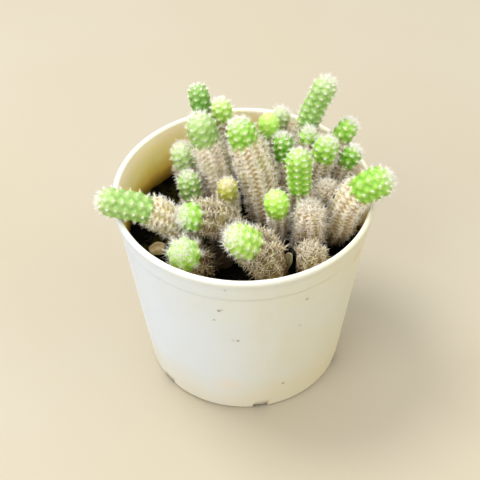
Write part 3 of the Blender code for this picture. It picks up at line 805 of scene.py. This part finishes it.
def add_crumbs(gather, rng):
    """Lumps and chips of bark, lying on the soil clear of the wall."""
    shape, faces = icosphere(1)
    most = pot_inner(SOIL_TOP) - 2.2 * MM
    for _ in range(CRUMB_COUNT):
        radius = most * math.sqrt(rng.uniform())
        angle = rng.uniform(0, 2 * math.pi)
        x, y = radius * math.cos(angle), radius * math.sin(angle)
        size = rng.uniform(*CRUMB_SIZES) * MM * (1.5 if rng.uniform() > 0.9 else 1)
        lengths = size * rng.uniform(0.55, 1.35, 3)
        turn = np.array(Matrix.Rotation(rng.uniform(0, 6), 3, Vector(rng.normal(0, 1, 3)).normalized()))
        lump = shape * rng.uniform(0.75, 1.2, (len(shape), 1)) * lengths
        gather.add(lump @ turn.T + [x, y, soil_height(x, y) + 0.25 * size], faces, 1)


# Stems


class Axis:
    """The middle line of a stem above its collar, by length, with its radii."""

    SAMPLES = 160

    def __init__(self, stem):
        self.stem = stem
        base = np.array([stem.foot[0] * MM, stem.foot[1] * MM, SOIL_TOP + COLLAR])
        head = np.array(stem.head) * MM + [0, 0, POT_HEIGHT]
        self.aim = unit(np.array(stem.aim, float))
        lean = unit(np.array(stem.lean, float))
        reach = stem.reach * np.linalg.norm(head - base)
        t = np.linspace(0, 1, self.SAMPLES)[:, None]
        pull_low = base + lean * reach
        pull_high = head - self.aim * reach
        self.points = (
            (1 - t) ** 3 * base
            + 3 * (1 - t) ** 2 * t * pull_low
            + 3 * (1 - t) * t**2 * pull_high
            + t**3 * head
        )
        steps = np.linalg.norm(np.diff(self.points, axis=0), axis=1)
        self.lengths = np.concatenate([[0], np.cumsum(steps)])
        self.length = self.lengths[-1]
        self.end = stem.end * MM
        self.whole = self.length + self.end * math.pi / 2
        self.green_from = self.length + self.end - stem.green * MM
        self.radii = self.radius(self.lengths)
        directions = unit(np.gradient(self.points, axis=0))
        upright = smooth_step(0, STRAIGHT_LENGTH, self.lengths)[:, None]
        self.directions = unit(upright * directions + (1 - upright) * [0, 0, 1])

    def radius(self, along):
        """The radius over the ribs at a length above the collar, past the head round its dome."""
        stem = self.stem
        share = np.clip(along / self.length, 0, 1)
        keys = (FOOT_SHARE * stem.widest, 0.97 * stem.widest, stem.widest, stem.end)
        marks = (0, 0.3, 0.62, 1)
        blur = np.linspace(-0.07, 0.07, 5)
        plain = np.mean([np.interp(share + shift, marks, keys) for shift in blur], axis=0) * MM
        plain = plain + (stem.end * MM - plain) * smooth_step(0.85, 1, share)
        waist = (along - self.green_from) / WAIST_LENGTH
        plain = plain * (1 - WAIST_DEPTH * np.exp(-(waist**2)) * (stem.green > 0))
        return plain * np.cos(self.dome(along))

    def dome(self, along):
        """The angle up the round end that a length past the head reaches."""
        return np.clip((along - self.length) / self.end, 0, math.pi / 2)

    def at(self, along, values):
        """Values given at each sample of the line, read at other lengths."""
        inner = np.clip(along, 0, self.length)
        return np.stack([np.interp(inner, self.lengths, column) for column in values.T], -1)

    def centre(self, along):
        past = self.aim * (self.end * np.sin(self.dome(along)))[..., None]
        return self.at(along, self.points) + past + [0, 0, 1] * np.minimum(along, 0)[..., None]

    def direction(self, along):
        return unit(self.at(along, self.directions))

    def gap_to(self, places):
        """How far each place lies outside this stem's ribs."""
        nearest = np.full(len(places), np.inf)
        for point, radius in zip(self.points[::4], self.radii[::4]):
            nearest = np.minimum(nearest, np.linalg.norm(places - point, axis=1) - radius)
        return nearest


def wall_gap(places):
    """How far each place lies from the pot's wall and lip."""
    here = np.stack([np.hypot(places[:, 0], places[:, 1]), places[:, 2]], -1)
    low = np.array([pot_outer(0) - POT_WALL / 2, 0])
    high = np.array([(POT_RIM_RADIUS + pot_inner(POT_HEIGHT)) / 2, POT_HEIGHT - LIP_ROUND])
    along = high - low
    share = np.clip((here - low) @ along / (along @ along), 0, 1)[:, None]
    return np.linalg.norm(here - low - share * along, axis=1) - LIP_ROUND


def hides_husk(places):
    """Whether each place lies in the husk, or between it and the camera."""
    low, high = (np.array(corner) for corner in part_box("dry_husk"))
    ahead = high[1] - places[:, 1]
    behind = places[:, 2] - np.maximum(ahead, 0) * math.tan(CAMERA_RISE)
    low_z = low[2] - HUSK_MARGIN - (high[1] - low[1]) * math.tan(CAMERA_RISE)
    beside = (places[:, 0] > low[0] - HUSK_MARGIN) & (places[:, 0] < high[0] + HUSK_MARGIN)
    level = (behind > low_z) & (behind < high[2] + HUSK_MARGIN)
    return beside & level & (ahead > -HUSK_MARGIN) & (ahead < HUSK_SIGHT)


class Surface:
    """A stem's ribbed skin as a function of the length up it and the angle round it."""

    def __init__(self, axis, rng):
        self.axis = axis
        self.ribs = axis.stem.ribs
        self.turn = rng.uniform(0, math.pi)
        self.twist = rng.uniform(-9, 9)  # radians per metre
        self.phases = rng.uniform(0, 2 * math.pi, 6)
        # Areoles are counted down from the highest, and lie closer together on the old corky part.
        top = axis.length + axis.end * LAST_AREOLE
        self.marks = np.linspace(0, top, 400)
        green = (self.marks > axis.green_from) & (axis.stem.green > 0)
        crowding = 0.52 + 0.48 * smooth_step(0, YOUNG_LENGTH, axis.whole - self.marks)
        steps = np.where(green, GREEN_STEP * crowding, CORKY_STEP)
        self.counts = np.concatenate([[0], np.cumsum(np.diff(self.marks) / steps[1:])])
        self.counts = self.counts - self.counts[-1]

    def relief(self, along, angle):
        """How near a rib's crest each place is, and how near the top of a swelling, both 0 to 1."""
        rib = np.round(angle * self.ribs / (2 * math.pi))
        count = np.interp(along, self.marks, self.counts) + 0.5 * (rib % 2)
        off = self.ribs * angle / 2 - math.pi * rib
        # The grooves wind, because a rib is widest at its swellings.
        off = off - MEANDER * np.cos(2 * math.pi * count) * np.sin(off)
        return np.cos(off) ** 2, np.cos(math.pi * (count + CHIN)) ** 2

    def place(self, along, angle):
        axis = self.axis
        direction = axis.direction(along)
        side = unit(np.cross(direction, (0, 1, 0)))
        round_by = (self.turn + self.twist * along + angle)[..., None]
        out = around(round_by, side, np.cross(direction, side))
        crest, swelling = self.relief(along, angle)
        dome = axis.dome(along)
        green = smooth_step(-1.5 * MM, 1.5 * MM, along - axis.green_from) * (axis.stem.green > 0)
        depth = (CORKY_RIB if axis.stem.green else OLD_RIB) * (1 - green) + GREEN_RIB * green
        depth = depth * smooth_step(-1 * MM, 6 * MM, along) * (1 - 0.75 * smooth_step(0.3, 1.3, dome))
        radius = axis.radius(along) * (1 - depth * (1 - crest))
        fade = smooth_step(0, 4 * MM, along) * (1 - smooth_step(1.0, 1.45, dome))
        lump = CORKY_LUMP + (GREEN_LUMP * (1 - axis.stem.plump) - CORKY_LUMP) * green
        radius = radius + lump * (swelling * crest - 0.5) * fade
        for number, phase in enumerate(self.phases):
            wave = np.sin(along / ((2.6 - 0.3 * number) * MM) + (number % 3 + 1) * angle + phase)
            radius = radius + 0.05 * MM * wave * fade
        return axis.centre(along) + out * radius[..., None]

    def normal(self, along, angle):
        step_up, step_round = 0.15 * MM, 0.02
        up = self.place(along + step_up, angle) - self.place(along - step_up, angle)
        across = self.place(along, angle + step_round) - self.place(along, angle - step_round)
        return unit(np.cross(across, up)), unit(up)


def row_lengths(axis):
    """Rows close together where it's green, and further apart on the corky body."""
    rows = [-(COLLAR + ROOT_DEPTH), -COLLAR]
    along = 0.0
    while along < axis.length:
        rows.append(along)
        along += GREEN_ROW if along > axis.green_from - 1 * MM else CORKY_ROW
    rows += list(axis.length + axis.end * np.radians(np.linspace(0, 88, 17)))
    return np.array(rows)


def add_skin(gather, surface, rng):
    axis = surface.axis
    stem = axis.stem
    columns = surface.ribs * COLUMNS_PER_RIB
    rows = row_lengths(axis)
    along, angle = np.meshgrid(rows, angles_round(columns), indexing="ij")
    places = surface.place(along, angle)
    ragged = 0.7 * MM * np.sin(surface.ribs * angle + 1) + rng.normal(0, 0.3 * MM, angle.shape)
    edge = 1.3 * MM
    green = smooth_step(-edge, edge, along - axis.green_from + ragged) * (stem.green > 0)
    crest, swelling = surface.relief(along, angle)
    # Painted shade: the skin's colour darkens away from the crests and the swellings' tops.
    high = 0.35 * crest + 0.65 * crest * swelling
    high = high + stem.plump * (0.75 - high)
    tip = np.clip(along / axis.whole, 0, 1) ** 3
    # On cork the third value is the stem's paleness, which carries painted light and shade.
    tones = np.stack([green, high, np.where(green > 0.5, tip, stem.pale)], -1)
    ends = [axis.centre(rows[:1])[0], axis.centre(np.array([axis.whole]))[0]]
    top = (1, 1, 1) if stem.green else (0, 1, stem.pale)
    places = np.concatenate([places.reshape(-1, 3), ends])
    tones = np.concatenate([tones.reshape(-1, 3), [(0, 1, 0), top]])
    gather.add(places, capped_faces(len(rows), columns), SKIN, tones)


class Areoles(NamedTuple):
    """A stem's areoles, one row each, with the surface's normal and the way up the stem."""

    along: np.ndarray
    roots: np.ndarray
    normals: np.ndarray
    ups: np.ndarray
    green: np.ndarray


def areoles_on(surface, rng):
    """From the head's dome down each rib, without those worn off at the soil or at the wall."""
    axis = surface.axis
    found = []
    for rib in range(surface.ribs):
        counts = np.arange(-0.5 * (rib % 2), surface.counts[0], -1)
        alongs = np.interp(counts, surface.counts, surface.marks)
        found += [(along, 2 * math.pi * rib / surface.ribs) for along in alongs if along > FIRST_AREOLE]
    along, angle = np.array(found).T
    along = along + rng.normal(0, AREOLE_SHIFT, len(found))
    green = (along > axis.green_from) & (axis.stem.green > 0)
    angle = angle + rng.normal(0, 1, len(found)) * np.where(green, GREEN_SCATTER, CORKY_SCATTER)
    roots = surface.place(along, angle)
    normals, ups = surface.normal(along, angle)
    worn = rng.uniform(0, WORN_HEIGHT, len(found)) > roots[:, 2] - SOIL_TOP - 1 * MM
    clear = ~worn & (wall_gap(roots) > 0.3 * MM)
    return Areoles(*(values[clear] for values in (along, roots, normals, ups, green)))


def add_wool(gather, stem, areoles, rng):
    """A small crowned cushion on each areole."""
    count = len(areoles.roots)
    sizes = np.where(areoles.green, 0.32 * (1 - 0.3 * stem.plump), 0.22 + 0.16 * stem.pale)
    sizes = (sizes * MM * rng.uniform(0.8, 1.2, count))[:, None, None]
    roots, normals, ups = (values[:, None] for values in (areoles.roots, areoles.normals, areoles.ups))
    angles = angles_round(WOOL_SIDES)[:, None]
    flat = around(angles, np.cross(ups, normals), ups)
    rings = [flat * width * sizes + roots + normals * height * sizes for width, height in WOOL_RINGS]
    places = np.concatenate([*rings, roots + normals * WOOL_TOP * sizes], 1)
    gather.add(places, bud_faces(WOOL_SIDES, count), WOOL)


class Spines(NamedTuple):
    """Many bristles at once, one row each."""

    roots: np.ndarray
    directions: np.ndarray
    lengths: np.ndarray
    widths: np.ndarray
    pale: np.ndarray

    def tips(self):
        return self.roots + self.directions * self.lengths[:, None]

    def kept(self, mask):
        return Spines(*(values[mask] for values in self))


def add_spines(gather, spines, rng):
    """Thin tapered bristles of three sides, each a little bent half-way."""
    roots, directions, lengths, widths, pale = spines
    count = len(roots)
    helper = np.where(np.abs(directions[:, :1]) > 0.8, [[0, 1.0, 0]], [[1.0, 0, 0]])
    first = unit(np.cross(directions, helper))
    second = np.cross(directions, first)
    ring = around(angles_round(3)[:, None], first[:, None], second[:, None]) * widths[:, None, None]
    bends = rng.normal(0, SPINE_BEND, directions.shape) * lengths[:, None]
    halves = roots + directions * lengths[:, None] * 0.55 - bends * 0.3
    tips = spines.tips() + bends
    places = np.concatenate([roots[:, None] + ring, halves[:, None] + 0.8 * ring, tips[:, None]], 1)
    # The tones are how pale the bristle is, and how far along it.
    along = np.tile([0, 0, 0, 0.5, 0.5, 0.5, 1], count)
    tones = np.stack([np.repeat(pale, 7), along, 0 * along], -1)
    gather.add(places, bud_faces(3, count), SPINE, tones)


def spine_directions(areoles, inner, rng):
    """The way each areole's bristles point: spread flat, or standing out from its middle."""
    number = INNER_SPINES if inner else OUTER_SPINES
    shape = (len(areoles.roots), number)
    order = np.arange(number)
    if inner:
        spin = 2 * math.pi * order / number + rng.uniform(-0.6, 0.6, shape)
    else:
        # Two combs, left and right, that point a little up the stem.
        rise = np.radians(np.linspace(*COMB_RISE, (number + 1) // 2))[order // 2]
        spin = np.where(order % 2, math.pi - rise, rise)
        spin = spin + rng.normal(0, 1, shape) * np.where(areoles.green, 0.13, 0.4)[:, None]
    lean = np.radians(rng.uniform(*(INNER_LEAN if inner else OUTER_LEAN), shape))[..., None]
    normals, ups = areoles.normals[:, None], areoles.ups[:, None]
    return around(lean, normals, around(spin[..., None], np.cross(ups, normals), ups))


def areole_spines(stem, areoles, young, inner, rng):
    """One ring of bristles at each areole."""
    directions = spine_directions(areoles, inner, rng)
    shape = directions.shape[:2]
    count, number = shape
    green = areoles.green
    base = np.where(green, GREEN_BRISTLE * (1 + 0.45 * young), CORKY_BRISTLE)[:, None]
    lengths = base * (1.2 if inner else 1) * stem.hair * rng.uniform(0.7, 1.2, shape)
    brown = rng.uniform(0, 1, shape) < BROWN_SHARE
    # Bristles on cork follow the stem's paleness, and with it its painted light and shade.
    cork_pale = np.minimum(0.2 + 0.55 * stem.pale + rng.uniform(0, 0.35, shape), 1)
    fresh_pale = rng.uniform(*FRESH_PALE, shape)
    pale = np.where(green[:, None], fresh_pale, np.where(brown, BROWN_PALE, cork_pale))
    cover = CORKY_COVER[0] + (CORKY_COVER[1] - CORKY_COVER[0]) * stem.pale
    wanted = np.where(green, number * (0.62 + 0.6 * young) * min(stem.hair, 1.3), number * cover)
    drawn = rng.permuted(np.tile(np.arange(number), (count, 1)), axis=1)
    keep = (drawn < wanted[:, None]).ravel()
    roots = np.repeat(areoles.roots + areoles.normals * 0.1 * MM, number, 0)
    widths = np.repeat(np.where(green, GREEN_SPINE_WIDTH, CORKY_SPINE_WIDTH), number)
    return Spines(roots, directions.reshape(-1, 3), lengths.ravel(), widths, pale.ravel()).kept(keep)


def crowded(places, others, room):
    """Whether each place is too near the wall, the soil or another stem, or hides the husk."""
    wall_room, soil_room, stem_room = room
    found = (wall_gap(places) < wall_room) | (places[:, 2] < SOIL_TOP + soil_room) | hides_husk(places)
    for other in others:
        found |= other.gap_to(places) < stem_room
    return found


def fitted(spines, others):
    """The bristles cut short where they are crowded, without those that still have no room."""
    for _ in range(3):
        shares = np.where(crowded(spines.tips(), others, SPINE_ROOM), 0.6, 1)
        spines = spines._replace(lengths=spines.lengths * shares)
    tips = spines.tips()
    halves = (spines.roots + tips) / 2
    blocked = crowded(tips, others, LEAST_ROOM) | (wall_gap(halves) < LEAST_ROOM[0]) | hides_husk(halves)
    return spines.kept(~blocked)


def add_stem(axis, axes, materials, rng):
    stem = axis.stem
    surface = Surface(axis, rng)
    gather = Gather()
    add_skin(gather, surface, rng)
    areoles = areoles_on(surface, rng)
    add_wool(gather, stem, areoles, rng)
    middle = axis.points.mean(0)
    near = [
        other for other in axes
        if other is not axis and np.linalg.norm(other.points - middle, axis=1).min() < NEARBY
    ]
    young = 1 - smooth_step(0, YOUNG_LENGTH, axis.whole - areoles.along)
    for inner in (False, True):
        spines = fitted(areole_spines(stem, areoles, young, inner, rng), near)
        add_spines(gather, spines, rng)
    add_tuft(gather, axis, rng)
    skin = [materials[stem.tone], materials["wool"], materials["spine"]]
    piece(stem.node + "_grown", gather, skin, stem.node)


def add_tuft(gather, axis, rng):
    """Short upright bristles that close over the growing point."""
    stem = axis.stem
    count = int(TUFT_COUNT * stem.cap)
    spread = TUFT_SPREAD * np.sqrt(rng.uniform(0, 1, count))[:, None]
    spin = rng.uniform(0, 2 * math.pi, count)[:, None]
    side = unit(np.cross(axis.aim, (0, 1, 0)))
    outward = around(spread, axis.aim, around(spin, side, np.cross(side, axis.aim)))
    roots = axis.points[-1] + outward * axis.end * 0.97
    directions = unit(outward + 0.35 * rng.normal(0, 1, (count, 3)))
    base = 1.45 * GREEN_BRISTLE if stem.green else 0.9 * CORKY_BRISTLE
    lengths = base * min(stem.hair, 1.2) * rng.uniform(0.6, 1.1, count)
    widths = np.full(count, GREEN_SPINE_WIDTH if stem.green else CORKY_SPINE_WIDTH)
    pale = rng.uniform(*(FRESH_PALE if stem.green else TUFT_PALE), count)
    add_spines(gather, Spines(roots, directions, lengths, widths, pale), rng)


def add_stems():
    materials = {tone: skin_material(tone) for tone in GREEN_TONES}
    materials["wool"] = wool_material()
    materials["spine"] = spine_material()
    axes = [Axis(stem) for stem in STEMS]
    for number, axis in enumerate(axes):
        add_stem(axis, axes, materials, np.random.default_rng(SEED + 1 + number))


# Loose things on the soil


def add_pebble():
    low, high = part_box("pebble")
    places, faces = icosphere(4)
    rng = np.random.default_rng(SEED)
    # Flattened by a few random planes, then roughened.
    for direction in unit(rng.normal(0, 1, (9, 3))):
        over = places @ direction - rng.uniform(0.36, 0.46)
        places = places - np.maximum(over, 0)[:, None] * direction * 0.9
    for number in range(6):
        wave = np.sin(places @ unit(rng.normal(0, 1, 3)) * (9 + 5 * number) + number)
        places = places * (1 + 0.012 * wave)[:, None]
    places[:, 2] = np.maximum(places[:, 2], -0.3)
    span = places.max(0) - places.min(0)
    places = (places - (places.max(0) + places.min(0)) / 2) / span
    gather = Gather()
    gather.add(places * np.array(high - low) + np.array(low + high) / 2, faces)
    piece("pebble_stone", gather, [pebble_material()], "pebble")


def add_husk():
    """A curled dry scale: a thin sheet, pointed at the foot, pleated along its length."""
    rows, columns = 26, 17
    share, across = np.meshgrid(np.linspace(0, 1, rows), np.linspace(-1, 1, columns), indexing="ij")
    half = HUSK_WIDTH / 2 * (0.16 + 0.84 * np.sin(math.pi * (0.08 + 0.72 * share)))
    x = across * half
    pleats = 0.10 * MM * np.cos(across * 9) * share
    curl = HUSK_CURL * ((2 * x / HUSK_WIDTH) ** 2 + share**2)
    ragged = 0.25 * MM * np.sin(across * 7 + 1) * smooth_step(0.8, 1, share)
    z = HUSK_LENGTH * share - np.abs(ragged)
    thick = HUSK_THICKNESS * (1 - 0.5 * np.abs(across))
    sides = [np.stack([x, pleats - curl + depth, z], -1).reshape(-1, 3) for depth in (0, thick)]
    sheet = rows * columns
    numbers = np.arange(sheet).reshape(rows, columns)
    a = numbers[:-1, :-1].ravel()
    front = np.stack([a, a + 1, a + columns + 1, a + columns], -1)
    rim = np.concatenate([numbers[0], numbers[1:, -1], numbers[-1, -2::-1], numbers[-2:0:-1, 0]])
    following = np.roll(rim, -1)
    edge = np.stack([following, rim, rim + sheet, following + sheet], -1)
    quads = np.concatenate([front, front[:, ::-1] + sheet, edge])
    faces = np.concatenate([quads[:, [0, 1, 2]], quads[:, [0, 2, 3]]])
    tilt_x, tilt_y, tilt_z = (Matrix.Rotation(angle, 3, axis) for angle, axis in zip(HUSK_TILT, "XYZ"))
    places = np.concatenate(sides) @ np.array(tilt_z @ tilt_y @ tilt_x).T
    low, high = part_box("dry_husk")
    places = places - (places.max(0) + places.min(0)) / 2 + np.array(low + high) / 2
    gather = Gather()
    gather.add(places, faces)
    piece("dry_husk_scale", gather, [husk_material()], "dry_husk")


# Camera, light and floor


def add_camera():
    """Looks along +Y and down at the rim."""
    back = np.array([0, -math.cos(CAMERA_RISE), math.sin(CAMERA_RISE)])
    place = back * CAMERA_DISTANCE + [0, 0, RIM_PLANE]
    right = np.array([1.0, 0, 0])
    turn = Matrix((right, np.cross(right, -back), back)).transposed()
    turn = turn @ Matrix.Rotation(-CAMERA_PAN, 3, "Y") @ Matrix.Rotation(CAMERA_TILT, 3, "X")
    turn = turn @ Matrix.Rotation(CAMERA_ROLL, 3, "Z")
    data = bpy.data.cameras.new("camera")
    data.lens = CAMERA_LENS
    data.sensor_width = 36
    data.clip_start = 0.01
    camera = link("camera", data)
    camera.matrix_world = Matrix.Translation(Vector(place)) @ turn.to_4x4()
    bpy.context.scene.camera = camera


def add_light():
    for name, place, target, size, power, colour in LIGHTS:
        data = bpy.data.lights.new(name, "AREA")
        data.shape = "DISK"
        data.size = size
        data.energy = power
        data.color = colour
        light = link(name, data)
        light.location = place
        light.rotation_euler = (Vector(target) - Vector(place)).to_track_quat("-Z", "Y").to_euler()
    world = bpy.data.worlds.new("studio")
    world.use_nodes = True
    background = world.node_tree.nodes["Background"]
    background.inputs["Color"].default_value = SKY_COLOUR
    background.inputs["Strength"].default_value = SKY_STRENGTH
    bpy.context.scene.world = world
    bpy.context.scene.view_settings.view_transform = "Standard"


def add_floor():
    bm = bmesh.new()
    bmesh.ops.create_grid(bm, x_segments=2, y_segments=2, size=FLOOR_SIZE)
    mesh = bpy.data.meshes.new("floor")
    bm.to_mesh(mesh)
    bm.free()
    mesh.materials.append(floor_material())
    floor = link("floor", mesh)


add_camera()
add_pot()
add_soil()
add_stems()
add_pebble()
add_husk()
add_floor()
add_light()
